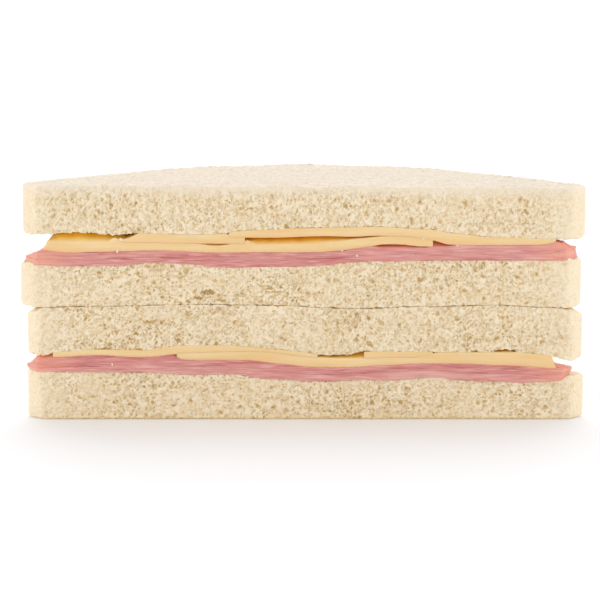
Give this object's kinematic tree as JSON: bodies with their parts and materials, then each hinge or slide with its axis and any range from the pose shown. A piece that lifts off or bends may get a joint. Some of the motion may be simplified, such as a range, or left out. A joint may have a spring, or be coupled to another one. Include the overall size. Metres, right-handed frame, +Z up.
{
  "type": "ham and cheese crustless sandwich",
  "caption": "Crustless white bread sandwich cut corner to corner, its triangular halves stacked with the cut faces in line, filled with sliced ham and mild cheese.",
  "frame": {"origin": "on the surface the sandwich stands on, under the middle of its box", "axes": "+Z up; +X along the long cut faces, to the right as they are looked at; the cut faces look towards -Y"},
  "size_m": [0.1362, 0.0688, 0.057],
  "materials": {
    "bread": "soft open white crumb, unglazed, cream with tan pores",
    "ham": "moist sliced cooked ham, mauve pink with rosier streaks, slight sheen",
    "cheese": "smooth pale yellow sliced cheese, amber in the shade, slight sheen"
  },
  "bodies": {
    "root": {"bread_bottom": "bread", "ham_lower_under": "ham", "ham_lower_over": "ham", "cheese_lower_wide": "cheese", "cheese_lower_over": "cheese", "cheese_lower_strip": "cheese", "bread_lower_lid": "bread", "bread_upper_base": "bread", "ham_upper_under": "ham", "ham_upper_over": "ham", "cheese_upper_wide": "cheese", "cheese_upper_strip": "cheese", "cheese_upper_over": "cheese", "bread_top": "bread"}
  },
  "joints": []
}
